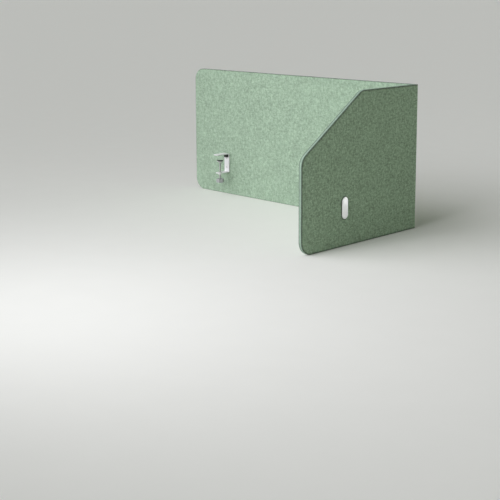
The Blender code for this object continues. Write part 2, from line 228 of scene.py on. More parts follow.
def lofted(rings):
    """A closed body through rings that each hold the same number of points."""
    shape = bmesh.new()
    made = [[shape.verts.new(point) for point in ring] for ring in rings]
    count = len(made[0])
    for lower, upper in zip(made, made[1:]):
        for index in range(count):
            onward = (index + 1) % count
            shape.faces.new((lower[index], lower[onward], upper[onward], upper[index]))
    shape.faces.new(list(reversed(made[0])))
    shape.faces.new(made[-1])
    return shape


def circle(radius, height, steps=FINE_ROUND):
    """Points round the Z axis."""
    angles = [2 * math.pi * step / steps for step in range(steps)]
    return [Vector((radius * math.cos(a), radius * math.sin(a), height)) for a in angles]


def turned(profile, steps=FINE_ROUND):
    """A profile of (radius, height) points off the axis, spun round the Z axis and closed at both ends."""
    return lofted([circle(radius, height, steps) for radius, height in profile])


def facing(shape, along, at=(0, 0, 0)):
    """The shape with its Z axis turned to along, and its origin moved to at."""
    turn = Vector(along).to_track_quat("Z", "Y").to_matrix().to_4x4()
    shape.transform(Matrix.Translation(at) @ turn)
    return shape


def quarter(centre, radius, first, last, steps=4):
    """Points of an arc in a profile, from one angle in degrees to another."""
    angles = [math.radians(first + (last - first) * step / steps) for step in range(steps + 1)]
    return [(centre[0] + radius * math.cos(a), centre[1] + radius * math.sin(a)) for a in angles]


def regular_outline(sides, radius):
    angles = [2 * math.pi * side / sides for side in range(sides)]
    return [(radius * math.cos(angle), radius * math.sin(angle)) for angle in angles]


def as_mesh(shape, name):
    """The shape as a mesh with its faces pointing out."""
    bmesh.ops.recalc_face_normals(shape, faces=shape.faces)
    if shape.calc_volume(signed=True) < 0:
        bmesh.ops.reverse_faces(shape, faces=shape.faces)
    mesh = bpy.data.meshes.new(name)
    shape.to_mesh(mesh)
    shape.free()
    return mesh


def as_shape(mesh):
    shape = bmesh.new()
    shape.from_mesh(mesh)
    return shape


def combined(base, tool, operation):
    """The base mesh with the tool mesh cut away, joined on or kept in common."""
    holder = bpy.data.objects.new("boolean_base", base)
    other = bpy.data.objects.new("boolean_tool", tool)
    bpy.context.scene.collection.objects.link(holder)
    bpy.context.scene.collection.objects.link(other)
    modifier = holder.modifiers.new("combine", "BOOLEAN")
    modifier.object = other
    modifier.operation = operation
    modifier.solver = "EXACT"
    graph = bpy.context.evaluated_depsgraph_get()
    result = bpy.data.meshes.new_from_object(holder.evaluated_get(graph), depsgraph=graph)
    bpy.data.objects.remove(holder)
    bpy.data.objects.remove(other)
    result.name = base.name
    return result


def without(base, *tools):
    for tool in tools:
        base = combined(base, as_mesh(tool, "cutter"), "DIFFERENCE")
    return base


def soften(shape, chosen, offset, segments):
    """Rounds the edges of a shape that the test chosen picks out."""
    edges = [edge for edge in shape.edges if chosen(edge)]
    bmesh.ops.bevel(
        shape, geom=edges, offset=offset, segments=segments, affect="EDGES", profile=0.5, clamp_overlap=True
    )


def is_sharp(edge):
    return len(edge.link_faces) == 2 and edge.calc_face_angle(0) > SMOOTH_ANGLE


def finished(mesh, finish):
    """Smooth shading, the piece's own coordinates, and how much each point is an edge that gets rubbed."""
    shape = as_shape(mesh)
    bends = []
    for vertex in shape.verts:
        angles = [edge.calc_face_angle(0) for edge in vertex.link_edges if len(edge.link_faces) == 2]
        bends.append(min(1.0, max(angles, default=0) / WORN_ANGLE))
    shape.free()
    places = np.array([vertex.co for vertex in mesh.vertices], np.float32)
    if "local" not in mesh.attributes:
        mesh.attributes.new("local", "FLOAT_VECTOR", "POINT").data.foreach_set("vector", places.ravel())
    mesh.attributes.new("wear", "FLOAT", "POINT").data.foreach_set("value", bends)
    mesh.shade_smooth()
    mesh.set_sharp_from_angle(angle=SMOOTH_ANGLE)
    mesh.materials.append(finish)
    return mesh


# Node helpers


def new_look(name):
    material = bpy.data.materials.new(name)
    material.use_nodes = True
    return material


def add(tree, kind, inputs=(), **settings):
    """A node with its settings made and its inputs, named or numbered, given values or links."""
    node = tree.nodes.new(kind)
    for key, value in settings.items():
        setattr(node, key, value)
    for key, value in dict(inputs).items():
        if isinstance(value, bpy.types.NodeSocket):
            tree.links.new(value, node.inputs[key])
        else:
            node.inputs[key].default_value = value
    return node


def own_place(tree):
    """The point's place in its piece's own coordinates, in metres."""
    return add(tree, "ShaderNodeAttribute", attribute_name="local").outputs["Vector"]


def sum_of(tree, operation, first, second):
    """A number worked out from two others by the named operation."""
    return add(tree, "ShaderNodeMath", {0: first, 1: second}, operation=operation).outputs[0]


def vector_of(tree, operation, first, second):
    """A colour or a vector worked out from two others by the named operation."""
    return add(tree, "ShaderNodeVectorMath", {0: first, 1: second}, operation=operation).outputs[0]


def grain(tree, place, scale, turn=(0, 0, 0), detail=2.0, roughness=0.5, shift=(0, 0, 0)):
    """Smooth noise from 0 to 1. scale is how many features a metre holds along each axis, after the turn."""
    turned_place = add(
        tree,
        "ShaderNodeMapping",
        {"Vector": place, "Rotation": turn, "Location": shift},
        vector_type="TEXTURE",
    )
    spread = vector_of(tree, "MULTIPLY", turned_place.outputs[0], scale)
    texture = add(
        tree,
        "ShaderNodeTexNoise",
        {"Vector": spread, "Scale": 1.0, "Detail": detail, "Roughness": roughness},
    )
    return texture.outputs["Fac"]


def stepped(tree, value, low, high, to_low=0.0, to_high=1.0):
    """value eased from low..high to to_low..to_high."""
    node = add(
        tree,
        "ShaderNodeMapRange",
        {"Value": value, "From Min": low, "From Max": high, "To Min": to_low, "To Max": to_high},
        interpolation_type="SMOOTHSTEP",
    )
    return node.outputs[0]


def blended(tree, share, first, second):
    node = add(tree, "ShaderNodeMix", {0: share, 6: first, 7: second}, data_type="RGBA")
    return node.outputs[2]


def tinted(tree, color, value):
    """The colour brightened or darkened by a value near 1."""
    scaled = add(tree, "ShaderNodeVectorMath", {0: color, "Scale": value}, operation="SCALE")
    return scaled.outputs[0]


def finish_look(material, color, roughness, height, distance, metallic=0.0, **more):
    """Joins colour, roughness and bump to the material's surface."""
    tree = material.node_tree
    surface = tree.nodes["Principled BSDF"]
    bump = add(tree, "ShaderNodeBump", {"Height": height, "Distance": distance, "Strength": 1.0})
    tree.links.new(color, surface.inputs["Base Color"])
    tree.links.new(roughness, surface.inputs["Roughness"])
    tree.links.new(bump.outputs[0], surface.inputs["Normal"])
    surface.inputs["Metallic"].default_value = metallic
    for key, value in more.items():
        surface.inputs[key.replace("_", " ")].default_value = value
    return material


# Finishes


FELT_GREEN = (0.312, 0.429, 0.309, 1)
FELT_LIGHT = (0.50, 0.65, 0.49, 1)
FELT_DARK = (0.13, 0.205, 0.13, 1)
OUTER_FACE_PAINTED_SHADE = (0.890, 0.915, 0.840, 1)  # painted shade: the whole outer face is made a little darker, for the light it is turned away from
CUT_GREEN = (0.222, 0.312, 0.238, 1)
CUT_LIGHT = (0.318, 0.430, 0.336, 1)


def fibres(tree, place, turn, length, width, shift):
    """Fibres that lie in the sheet, at an angle to its length."""
    scale = (1 / length, 1 / (3 * width), 1 / width)
    return grain(tree, place, scale, (0, math.radians(turn), 0), 1.0, 0.4, shift)


def plate_contact_shadow(tree, along, height):
    """Near 1 on open felt, and lower close to the rim of each cover plate: a painted contact shadow round the
    plate.
    """
    low, high = own_box("cover_plate")
    radius = (high.x - low.x) / 2
    straight = (high.z - low.z) / 2 - radius
    nearest = None
    for clamp in CLAMPS:
        low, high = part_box(f"{clamp}_cover_plate")
        middle = (low + high) / 2
        across = sum_of(tree, "SUBTRACT", along, along_sheet(clamp, middle))
        up = sum_of(tree, "ABSOLUTE", sum_of(tree, "SUBTRACT", height, middle.z), 0)
        up = sum_of(tree, "MAXIMUM", sum_of(tree, "SUBTRACT", up, straight), 0)
        offset = add(tree, "ShaderNodeCombineXYZ", {0: across, 1: up})
        length = add(tree, "ShaderNodeVectorMath", {0: offset.outputs[0]}, operation="LENGTH")
        distance = length.outputs["Value"]
        nearest = distance if nearest is None else sum_of(tree, "MINIMUM", nearest, distance)
    return stepped(tree, nearest, radius, radius + PLATE_SHADOW_BAND, PLATE_SHADOW_LEVEL, 1)


def felt_look():
    """Needled felt of mixed light and dark green fibres, with a soft nap. Painted shade darkens its outer face,
    its cut rims and the felt round the cover plates, and a painted highlight lightens it along the fold.
    """
    material = new_look("sage_felt")
    tree = material.node_tree
    place = own_place(tree)
    light = None
    for index, turn in enumerate((12, 58, 101, 149)):
        layer = stepped(tree, fibres(tree, place, turn, 0.014, 0.0008, (0.3 * index, 0, 0)), 0.56, 0.70)
        light = layer if light is None else sum_of(tree, "MAXIMUM", light, layer)
    dark = None
    for index, turn in enumerate((35, 80, 128, 171)):
        layer = stepped(tree, fibres(tree, place, turn, 0.011, 0.0009, (0, 0, 0.7 + 0.4 * index)), 0.56, 0.72)
        dark = layer if dark is None else sum_of(tree, "MAXIMUM", dark, layer)
    color = blended(tree, sum_of(tree, "MULTIPLY", light, 0.38), FELT_GREEN, FELT_LIGHT)
    color = blended(tree, sum_of(tree, "MULTIPLY", dark, 0.38), color, FELT_DARK)
    tufts = grain(tree, place, (120, 120, 120), detail=3.0, roughness=0.65)
    upright = grain(tree, place, (210, 120, 62), detail=2.0, roughness=0.6)
    level = grain(tree, place, (62, 120, 210), detail=2.0, roughness=0.6, shift=(0, 0, 2))
    clouds = grain(tree, place, (22, 22, 22), detail=2.0)
    parts = add(tree, "ShaderNodeSeparateXYZ", {0: place})
    outer_face = stepped(tree, parts.outputs["Y"], SHEET_MIDDLE - 0.001, SHEET_MIDDLE + 0.001)
    heather = stepped(tree, tufts, 0.25, 0.75, -0.14, 0.14)
    heather = sum_of(tree, "ADD", heather, stepped(tree, upright, 0.25, 0.75, -0.10, 0.10))
    heather = sum_of(tree, "ADD", heather, stepped(tree, level, 0.25, 0.75, -0.09, 0.09))
    heather = sum_of(tree, "MULTIPLY", heather, stepped(tree, outer_face, 0, 1, 1.0, 1.7))
    heather = sum_of(tree, "ADD", heather, stepped(tree, clouds, 0.25, 0.75, 0.955, 1.045))
    color = tinted(tree, color, heather)
    # painted shade: the outer face is darkened all over, for the light it is turned away from
    shade = blended(tree, outer_face, (1, 1, 1, 1), OUTER_FACE_PAINTED_SHADE)
    color = vector_of(tree, "MULTIPLY", color, shade)
    # painted highlight: the felt is lightened within 9 mm of the fold, where the rounded fold catches light
    from_fold = sum_of(tree, "ABSOLUTE", parts.outputs["X"], 0)
    color = tinted(tree, color, stepped(tree, from_fold, 0.0010, 0.0090, 1.12, 1))
    rim = add(tree, "ShaderNodeAttribute", attribute_name="rim").outputs["Fac"]
    # painted shade: each face is darkened in a thin strip along the cut edge
    inner_rim = stepped(tree, rim, 0.0012, 0.0030, 0.62, 1)
    outer_rim = stepped(tree, rim, 0.0018, RIM_SHADE_BAND, 0.44, 1)
    color = tinted(tree, color, sum_of(tree, "MAXIMUM", inner_rim, outer_face))
    color = tinted(tree, color, sum_of(tree, "MAXIMUM", outer_rim, sum_of(tree, "SUBTRACT", 1, outer_face)))
    # painted shadow: the felt is darkened round each cover plate as its contact shadow, and the same mask dents
    # the bump
    plate_shadow_and_dent = plate_contact_shadow(tree, parts.outputs["X"], parts.outputs["Z"])
    plate_shadow_and_dent = sum_of(tree, "MAXIMUM", plate_shadow_and_dent, sum_of(tree, "SUBTRACT", 1, outer_face))
    color = tinted(tree, color, plate_shadow_and_dent)
    nap = grain(tree, place, (1600, 1600, 1600), detail=2.0, roughness=0.6)
    height = sum_of(tree, "SUBTRACT", light, dark)
    height = sum_of(tree, "ADD", sum_of(tree, "MULTIPLY", height, 0.5), nap)
    lumps = sum_of(tree, "ADD", tufts, sum_of(tree, "MULTIPLY", sum_of(tree, "ADD", upright, level), 0.4))
    height = sum_of(tree, "ADD", height, sum_of(tree, "MULTIPLY", lumps, 5.0))
    height = sum_of(tree, "ADD", height, sum_of(tree, "MULTIPLY", plate_shadow_and_dent, 2.5))
    roughness = stepped(tree, tufts, 0.2, 0.8, 0.88, 1.0)
    return finish_look(
        material, color, roughness, height, 0.00030,
        Sheen_Weight=0.08, Sheen_Roughness=0.55, Specular_IOR_Level=0.15,
    )


def cut_felt_look():
    """The sheet's cut edge: a loose light core, painted darker towards both faces as shade along the rounded
    arrises.
    """
    material = new_look("sage_felt_cut_edge")
    tree = material.node_tree
    place = own_place(tree)
    layers = grain(tree, place, (90, 1500, 90), detail=3.0, roughness=0.6)
    ends = grain(tree, place, (1300, 900, 1300), detail=2.0, roughness=0.6)
    tufts = grain(tree, place, (110, 110, 110), detail=2.0)
    color = blended(tree, stepped(tree, layers, 0.35, 0.68), CUT_GREEN, CUT_LIGHT)
    color = tinted(tree, color, stepped(tree, ends, 0.3, 0.7, 0.84, 1.12))
    color = tinted(tree, color, stepped(tree, tufts, 0.25, 0.75, 0.92, 1.08))
    outward = add(tree, "ShaderNodeSeparateXYZ", {0: place}).outputs["Y"]
    from_core = sum_of(tree, "ABSOLUTE", sum_of(tree, "SUBTRACT", outward, SHEET_MIDDLE), 0)
    # painted shade: the edge darkens towards both faces, along the rounded arrises
    color = tinted(tree, color, stepped(tree, from_core, 0.0034, 0.0048, 1.0, 0.34))
    height = sum_of(tree, "ADD", layers, ends)
    roughness = stepped(tree, ends, 0.2, 0.8, 0.9, 1.0)
    return finish_look(
        material, color, roughness, height, 0.00030,
        Sheen_Weight=0.06, Sheen_Roughness=0.5, Specular_IOR_Level=0.12,
    )


def rubbed(tree, place, scale):
    """Where an edge has been rubbed, broken up by noise."""
    wear = add(tree, "ShaderNodeAttribute", attribute_name="wear").outputs["Fac"]
    spots = grain(tree, place, (scale, scale, scale), detail=3.0, roughness=0.65)
    return sum_of(tree, "MULTIPLY", stepped(tree, wear, 0.45, 1.0), stepped(tree, spots, 0.44, 0.66))


def powder_coat_look():
    """Fine matt white powder coat with orange peel, thinner on its edges."""
    material = new_look("white_powder_coat")
    tree = material.node_tree
    place = own_place(tree)
    peel = grain(tree, place, (950, 950, 950), detail=2.0, roughness=0.45)
    specks = grain(tree, place, (2600, 2600, 2600), detail=1.0)
    haze = grain(tree, place, (60, 60, 60), detail=3.0)
    color = blended(tree, stepped(tree, haze, 0.3, 0.7), (0.775, 0.785, 0.775, 1), (0.825, 0.832, 0.822, 1))
    color = tinted(tree, color, stepped(tree, specks, 0.3, 0.7, 0.97, 1.02))
    worn = rubbed(tree, place, 700)
    color = blended(tree, sum_of(tree, "MULTIPLY", worn, 0.45), color, (0.50, 0.51, 0.52, 1))
    roughness = stepped(tree, peel, 0.25, 0.75, 0.36, 0.50)
    return finish_look(material, color, roughness, peel, 0.00006)


def aluminium_look():
    """Satin anodised aluminium, brushed along its length."""
    material = new_look("satin_aluminium")
    tree = material.node_tree
    place = own_place(tree)
    brushed = grain(tree, place, (4200, 700, 55), detail=3.0, roughness=0.6)
    long_marks = grain(tree, place, (1500, 700, 18), detail=2.0)
    haze = grain(tree, place, (70, 70, 70), detail=2.0)
    color = blended(tree, stepped(tree, haze, 0.3, 0.7), (0.83, 0.84, 0.835, 1), (0.89, 0.90, 0.895, 1))
    color = tinted(tree, color, stepped(tree, brushed, 0.3, 0.7, 0.96, 1.03))
    worn = rubbed(tree, place, 900)
    color = blended(tree, sum_of(tree, "MULTIPLY", worn, 0.5), color, (0.95, 0.95, 0.95, 1))
    marks = sum_of(tree, "ADD", brushed, long_marks)
    roughness = stepped(tree, marks, 0.7, 1.3, 0.30, 0.42)
    return finish_look(material, color, roughness, marks, 0.00002, metallic=1.0)


def zinc_look():
    """Bright zinc plate with turning marks and a faint yellow and blue passivation."""
    material = new_look("bright_zinc")
    tree = material.node_tree
    place = own_place(tree)
    rings = grain(tree, place, (150, 150, 5200), detail=2.0, roughness=0.6)
    bloom = grain(tree, place, (160, 160, 160), detail=3.0, roughness=0.6)
    color = blended(tree, stepped(tree, bloom, 0.3, 0.7), (0.56, 0.575, 0.60, 1), (0.63, 0.62, 0.585, 1))
    color = tinted(tree, color, stepped(tree, rings, 0.3, 0.7, 0.93, 1.05))
    worn = rubbed(tree, place, 1200)
    color = blended(tree, sum_of(tree, "MULTIPLY", worn, 0.6), color, (0.74, 0.74, 0.73, 1))
    roughness = stepped(tree, bloom, 0.25, 0.75, 0.26, 0.42)
    return finish_look(material, color, roughness, rings, 0.00003, metallic=1.0)


def rubber_look():
    """Matt black rubber with a fine moulded grain and a little dust."""
    material = new_look("black_rubber")
    tree = material.node_tree
    place = own_place(tree)
    texture = grain(tree, place, (1700, 1700, 1700), detail=2.0, roughness=0.5)
    dust = grain(tree, place, (140, 140, 140), detail=4.0, roughness=0.65)
    color = blended(tree, stepped(tree, dust, 0.42, 0.80), (0.036, 0.036, 0.038, 1), (0.085, 0.085, 0.084, 1))
    roughness = stepped(tree, texture, 0.25, 0.75, 0.72, 0.90)
    return finish_look(material, color, roughness, texture, 0.00008)


def knob_look():
    """Light grey moulded plastic with a spark-eroded grain, polished by fingers on its lobes."""
    material = new_look("grey_moulded_plastic")
    tree = material.node_tree
    place = own_place(tree)
    pits = add(tree, "ShaderNodeTexVoronoi", {"Vector": place, "Scale": 1500.0}, feature="F1")
    haze = grain(tree, place, (90, 90, 90), detail=3.0)
    color = blended(tree, stepped(tree, haze, 0.3, 0.7), (0.345, 0.355, 0.355, 1), (0.375, 0.383, 0.382, 1))
    worn = rubbed(tree, place, 500)
    color = blended(tree, sum_of(tree, "MULTIPLY", worn, 0.35), color, (0.45, 0.455, 0.45, 1))
    rough = stepped(tree, haze, 0.3, 0.7, 0.46, 0.56)
    roughness = sum_of(tree, "SUBTRACT", rough, sum_of(tree, "MULTIPLY", worn, 0.12))
    return finish_look(material, color, roughness, pits.outputs["Distance"], 0.00007)


# Felt sheet, cut and grooved flat, then folded. Flat coordinates: X along the sheet from the fold's axis


def fold_axis():
    joint = next(joint for joint in frame["joints"] if joint["name"] == "wing_fold")
    return Vector((joint["pos_m"][0], joint["pos_m"][1], 0))


def along_sheet(clamp, place):
    """How far a place on a clamp's panel lies along the flat sheet from the fold's axis."""
    axis = fold_axis()
    return place.x - axis.x if HOSTS[clamp] == "rear_panel" else axis.y - place.y


def groove_half_width(depth):
    """Half of the V-groove's width at a depth below the fold's axis."""
    return depth + GROOVE_CLEARANCE


def folded(point, foot):
    """A flat point after the sheet is bent to a right angle round the fold's axis."""
    along, out, height = point
    below = min(max(out / foot, 0), 1)
    reach = BEND_HALF + (groove_half_width(-foot) - BEND_HALF) * below
    share = min(max((along + reach) / (2 * reach), 0), 1)
    turn = Matrix.Rotation(-share * math.pi / 2, 2)
    bent = turn @ Vector((along, out))
    return Vector((bent.x, bent.y, height))


def cut_along(shape, place, normal):
    geometry = shape.verts[:] + shape.edges[:] + shape.faces[:]
    bmesh.ops.bisect_plane(shape, geom=geometry, dist=TINY, plane_co=place, plane_no=normal)


def distances_to(points, outline):
    """How far each (across, up) point lies from a closed outline."""
    starts = np.array([tuple(point) for point in outline])
    ends = np.roll(starts, -1, axis=0)
    spans = ends - starts
    nearest = np.full(len(points), np.inf)
    for start, span in zip(starts, spans):
        share = np.clip((points - start) @ span / max(span @ span, TINY**2), 0, 1)
        nearest = np.minimum(nearest, np.linalg.norm(points - start - share[:, None] * span, axis=1))
    return nearest


def sheet_outline(left, front, height, outer):
    """The flat sheet's outline as (along, up) points, with the wing and its slope on the right."""
    return rounded_outline([
        (left, 0, CORNER_RADIUS),
        (front, 0, CORNER_RADIUS),
        (front, SLOPE_END_HEIGHT, CORNER_RADIUS),
        (SLOPE_START - outer, height, CORNER_RADIUS),
        (left, height, CORNER_RADIUS),
    ], OUTLINE_ARC_STEP)


def flat_board(outline, inner, outer):
    """The board as it is cut out, with rounded rims and a ring of faces along its edge."""
    shape = prism(outline, RIGHT, UP, AWAY, inner, outer)
    faces = [face for face in shape.faces if len(face.verts) > 4]
    bmesh.ops.inset_individual(shape, faces=faces, thickness=RIM_SHADE_BAND, use_even_offset=True)

    def on_the_rim(edge):
        flat = abs(edge.verts[0].co.y - edge.verts[1].co.y) < TINY
        return flat and any(abs(face.normal.y) < 0.5 for face in edge.link_faces)

    shape.normal_update()
    soften(shape, on_the_rim, CUT_EDGE_ROUND, 3)
    return as_mesh(shape, "felt_screen")


def grooved(sheet, inner, foot, height):
    """The board with the V-groove cut into its inner face, down to the skin."""
    wide, narrow = groove_half_width(CUTTER_PAST - inner), groove_half_width(-foot)
    groove = [(-narrow, foot), (narrow, foot), (wide, inner - CUTTER_PAST), (-wide, inner - CUTTER_PAST)]
    return without(sheet, prism(groove, RIGHT, AWAY, UP, -CUTTER_PAST, height + CUTTER_PAST))


def bored(sheet, inner, outer):
    """The board with a hole for each boss of the cover plates."""
    ends = (inner - CUTTER_PAST, outer + CUTTER_PAST)
    for clamp in CLAMPS:
        for screw in ("upper_screw", "lower_screw"):
            low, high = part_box(f"{clamp}_{screw}")
            middle = (low + high) / 2
            hole = turned([(BOSS_HOLE_RADIUS, end) for end in ends], SMALL_ROUND)
            sheet = without(sheet, facing(hole, AWAY, (along_sheet(clamp, middle), 0, middle.z)))
    return sheet


def divided(sheet, left, front, height):
    """The board cut into rows and columns, and at the fold into the strips that bend."""
    shape = as_shape(sheet)
    for column in (-BEND_HALF, 0, BEND_HALF):
        cut_along(shape, RIGHT * column, RIGHT)
    for column in range(math.ceil(left / GRID), math.ceil(front / GRID)):
        if column:
            cut_along(shape, RIGHT * column * GRID, RIGHT)
    for row in range(1, math.ceil(height / GRID)):
        cut_along(shape, UP * row * GRID, UP)
    return shape


def mark_cut_faces(shape, inner):
    """Gives the second of the sheet's two finishes to its cut edge and to the groove's sides."""
    shape.normal_update()
    for face in shape.faces:
        middle = face.calc_center_median()
        across = abs(face.normal.y)
        in_groove = abs(middle.x) < groove_half_width(-inner) and 0.6 < across < 0.8
        face.material_index = int(across < 0.6 or (in_groove and middle.y < 0))


def felt_sheet_mesh(finish, cut_finish):
    """The whole sheet: cut out, grooved, bored, left a little wavy, and folded."""
    axis = fold_axis()
    rear_low, rear_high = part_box("rear_panel")
    outer = rear_high.y - axis.y
    inner = rear_low.y - axis.y
    foot = outer - SKIN
    left = rear_low.x - axis.x
    front = axis.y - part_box("side_panel")[0].y
    height = rear_high.z
    outline = sheet_outline(left, front, height, outer)
    sheet = flat_board(outline, inner, outer)
    sheet = bored(grooved(sheet, inner, foot, height), inner, outer)
    shape = divided(sheet, left, front, height)
    mark_cut_faces(shape, inner)
    flat = np.array([vertex.co for vertex in shape.verts], np.float32)
    for vertex in shape.verts:
        along, out, up = vertex.co
        wave = noise.noise(Vector((along, 0, up)) / WAVE_LENGTH)
        fade = min(1, abs(along) / (6 * -inner))
        vertex.co = folded((along, out + WAVE_HEIGHT * wave * fade, up), foot) + axis
    sheet.clear_geometry()
    shape.to_mesh(sheet)
    shape.free()
    sheet.attributes.new("local", "FLOAT_VECTOR", "POINT").data.foreach_set("vector", flat.ravel())
    rim = distances_to(flat[:, [0, 2]], outline).astype(np.float32)
    sheet.attributes.new("rim", "FLOAT", "POINT").data.foreach_set("value", rim)
    finished(sheet, finish)
    sheet.materials.append(cut_finish)
    return sheet


# Clamp


def clamp_place(clamp):
    """Where a clamp's own frame stands: on the desktop's upper edge, facing in over the desktop."""
    mounts = {mount["name"]: mount for mount in frame["record"]["mounts"]}
    stop = mounts[f"{clamp}_edge_stop"]
    inward = Vector(stop["axis"])
    edge = Vector(stop["pos_m"])
    edge.z = mounts[f"{clamp}_tongue_seat"]["pos_m"][2]
    turn = math.atan2(-inward.x, inward.y)
    return Matrix.Translation(edge) @ Matrix.Rotation(turn, 4, "Z")


def own_box(piece):
    """A clamp piece's box in the clamp's own frame."""
    back = clamp_place("side").inverted()
    points = np.array([back @ vertex.co for vertex in frame["nodes"][f"side_{piece}"].data.vertices])
    return Vector(points.min(axis=0)), Vector(points.max(axis=0))


def screw_heights():
    low, high = own_box("cover_plate")
    middle = (low.z + high.z) / 2
    return (middle - SCREW_SPACING / 2, middle + SCREW_SPACING / 2)


def spindle_out():
    low, high = own_box("spindle")
    return (low.y + high.y) / 2


def bracket_mesh(finish):
    """A bent strip of steel: tongue, web and arm, with its cut corners and burrs rounded."""
    low, high = own_box("bracket")
    arm_low, tongue_high = low.z, high.z
    arm_high, tongue_low = arm_low + STEEL, tongue_high - STEEL
    web_outer, web_inner = low.y, low.y + STEEL
    tongue_reach = high.y
    arm_reach = spindle_out() + ARM_PAST_SPINDLE
    outer_bend = BEND_RADIUS + STEEL
    outline = rounded_outline([
        (tongue_reach, tongue_high, 0),
        (web_outer, tongue_high, outer_bend),
        (web_outer, arm_low, outer_bend),
        (arm_reach, arm_low, 0),
        (arm_reach, arm_high, 0),
        (web_inner, arm_high, BEND_RADIUS),
        (web_inner, tongue_low, BEND_RADIUS),
        (tongue_reach, tongue_low, 0),
    ])
    shape = prism(outline, AWAY, UP, RIGHT, low.x, high.x)

    def at_a_free_corner(edge):
        first, second = (vertex.co for vertex in edge.verts)
        upright = abs(abs(first.z - second.z) - STEEL) < GAP
        return upright and abs(first.y - second.y) < TINY and first.y > web_inner + outer_bend

    soften(shape, at_a_free_corner, BRACKET_CORNER, 10)
    bracket = as_mesh(shape, "bracket")
    hole = turned([(SPINDLE_HOLE_RADIUS, arm_low - GAP), (SPINDLE_HOLE_RADIUS, arm_high + GAP)])
    bracket = without(bracket, facing(hole, UP, AWAY * spindle_out()))
    head = SCREW_HEAD_RADIUS + SCREW_CLEARANCE
    shank = SCREW_RADIUS + SCREW_CLEARANCE
    for height in screw_heights():
        profile = [(head + GAP, GAP), (shank, -SCREW_HEAD_HEIGHT), (shank, -STEEL - GAP)]
        countersink = facing(turned(profile, SMALL_ROUND), AWAY, (0, web_inner, height))
        bracket = without(bracket, countersink)
    shape = as_shape(bracket)
    bmesh.ops.dissolve_limit(
        shape, angle_limit=math.radians(0.5), verts=shape.verts, edges=shape.edges, delimit=set()
    )
    soften(shape, is_sharp, BURR_ROUND, 2)
    return finished(as_mesh(shape, "bracket"), finish)


def cover_plate_mesh(finish):
    """A pill-shaped plate with a soft rim, and two bored bosses that pass through the felt."""
    low, high = own_box("cover_plate")
    front, boss_end = low.y, high.y
    back = front + COVER_THICKNESS
    radius = (high.x - low.x) / 2
    outline = box_outline((low.x, low.z), (high.x, high.z), radius)
    shape = prism(outline, RIGHT, UP, AWAY, front, back)

    def on_the_rim(edge):
        return all(vertex.co.y < front + TINY for vertex in edge.verts)

    soften(shape, on_the_rim, COVER_EDGE, 5)

    def on_the_back(edge):
        return all(vertex.co.y > back - TINY for vertex in edge.verts)

    soften(shape, on_the_back, BURR_ROUND, 2)
    plate = as_mesh(shape, "cover_plate")
    root = back - COVER_THICKNESS / 2
    for height in screw_heights():
        boss = turned([
            (BOSS_RADIUS, root),
            (BOSS_RADIUS, boss_end - BURR_ROUND),
            (BOSS_RADIUS - BURR_ROUND, boss_end),
            (BOSS_BORE + BURR_ROUND, boss_end),
            (BOSS_BORE, boss_end - BURR_ROUND),
            (BOSS_BORE, back),
        ], SMALL_ROUND)
        plate = combined(plate, as_mesh(facing(boss, AWAY, UP * height), "boss"), "UNION")
    return finished(plate, finish)


def screw_mesh(finish):
    """A countersunk screw with a hexagon socket, the face of its head at the origin."""
    length = own_box("upper_screw")[1].y - own_box("upper_screw")[0].y
    profile = [
        (SCREW_HEAD_RADIUS - SCREW_HEAD_RIM, 0),
        (SCREW_HEAD_RADIUS, -SCREW_HEAD_RIM),
        (SCREW_RADIUS, -SCREW_HEAD_HEIGHT),
    ]
    turns = int((length - SCREW_HEAD_HEIGHT - 2 * SCREW_PITCH) / SCREW_PITCH)
    for turn in range(turns):
        crest = -SCREW_HEAD_HEIGHT - SCREW_PITCH * (turn + 0.5)
        profile += [(SCREW_RADIUS, crest), (SCREW_RADIUS - SCREW_THREAD_DEPTH, crest - SCREW_PITCH / 2)]
    profile += [(SCREW_RADIUS, -length + SCREW_RADIUS / 2), (SCREW_RADIUS / 2, -length)]
    body = facing(turned(profile, SMALL_ROUND), AWAY)
    socket = prism(regular_outline(6, KEY_RADIUS), RIGHT, UP, AWAY, -KEY_DEPTH, GAP)
    return finished(without(as_mesh(body, "screw"), socket), finish)


def pad_mesh(piece, finish, radius, edge, across, up, through):
    """A rubber block with rounded corners and edges, as large as the frame's own."""
    low, high = own_box(piece)
    start = (low.dot(across), low.dot(up))
    end = (high.dot(across), high.dot(up))
    shape = prism(box_outline(start, end, radius), across, up, through, low.dot(through), high.dot(through))

    def on_a_rim(side):
        return abs(side.verts[0].co.dot(through) - side.verts[1].co.dot(through)) < TINY

    soften(shape, on_a_rim, edge, 3)
    return finished(as_mesh(shape, piece), finish)


def tongue_pad_mesh(finish):
    return pad_mesh("tongue_pad", finish, TONGUE_PAD_CORNER, TONGUE_PAD_EDGE, RIGHT, AWAY, UP)


def edge_bumper_mesh(finish):
    return pad_mesh("edge_bumper", finish, BUMPER_CORNER, BUMPER_EDGE, RIGHT, UP, AWAY)


# Pieces round the spindle's axis, their heights measured from the desktop's upper face


def weld_nut_mesh(finish):
    low, high = own_box("weld_nut")
    across_flats = high.y - low.y
    corner = across_flats / 2 / math.cos(math.pi / 6)
    hexagon = prism(regular_outline(6, corner), RIGHT, AWAY, UP, low.z, high.z)
    chamfer = across_flats / 2 * NUT_CHAMFER
    rim = corner + GAP
    drop = (rim - chamfer) * math.tan(NUT_CHAMFER_SLOPE)
    cone = turned([(rim, high.z + GAP), (rim, low.z + drop), (chamfer, low.z - TINY)])
    nut = combined(as_mesh(hexagon, "weld_nut"), as_mesh(cone, "cone"), "INTERSECT")
    bore = turned([
        (NUT_BORE_RADIUS + NUT_LEAD_WIDTH, low.z - NUT_LEAD_START),
        (NUT_BORE_RADIUS, low.z + NUT_LEAD_DEPTH),
        (NUT_BORE_RADIUS, high.z + GAP),
    ])
    return finished(without(nut, bore), finish)


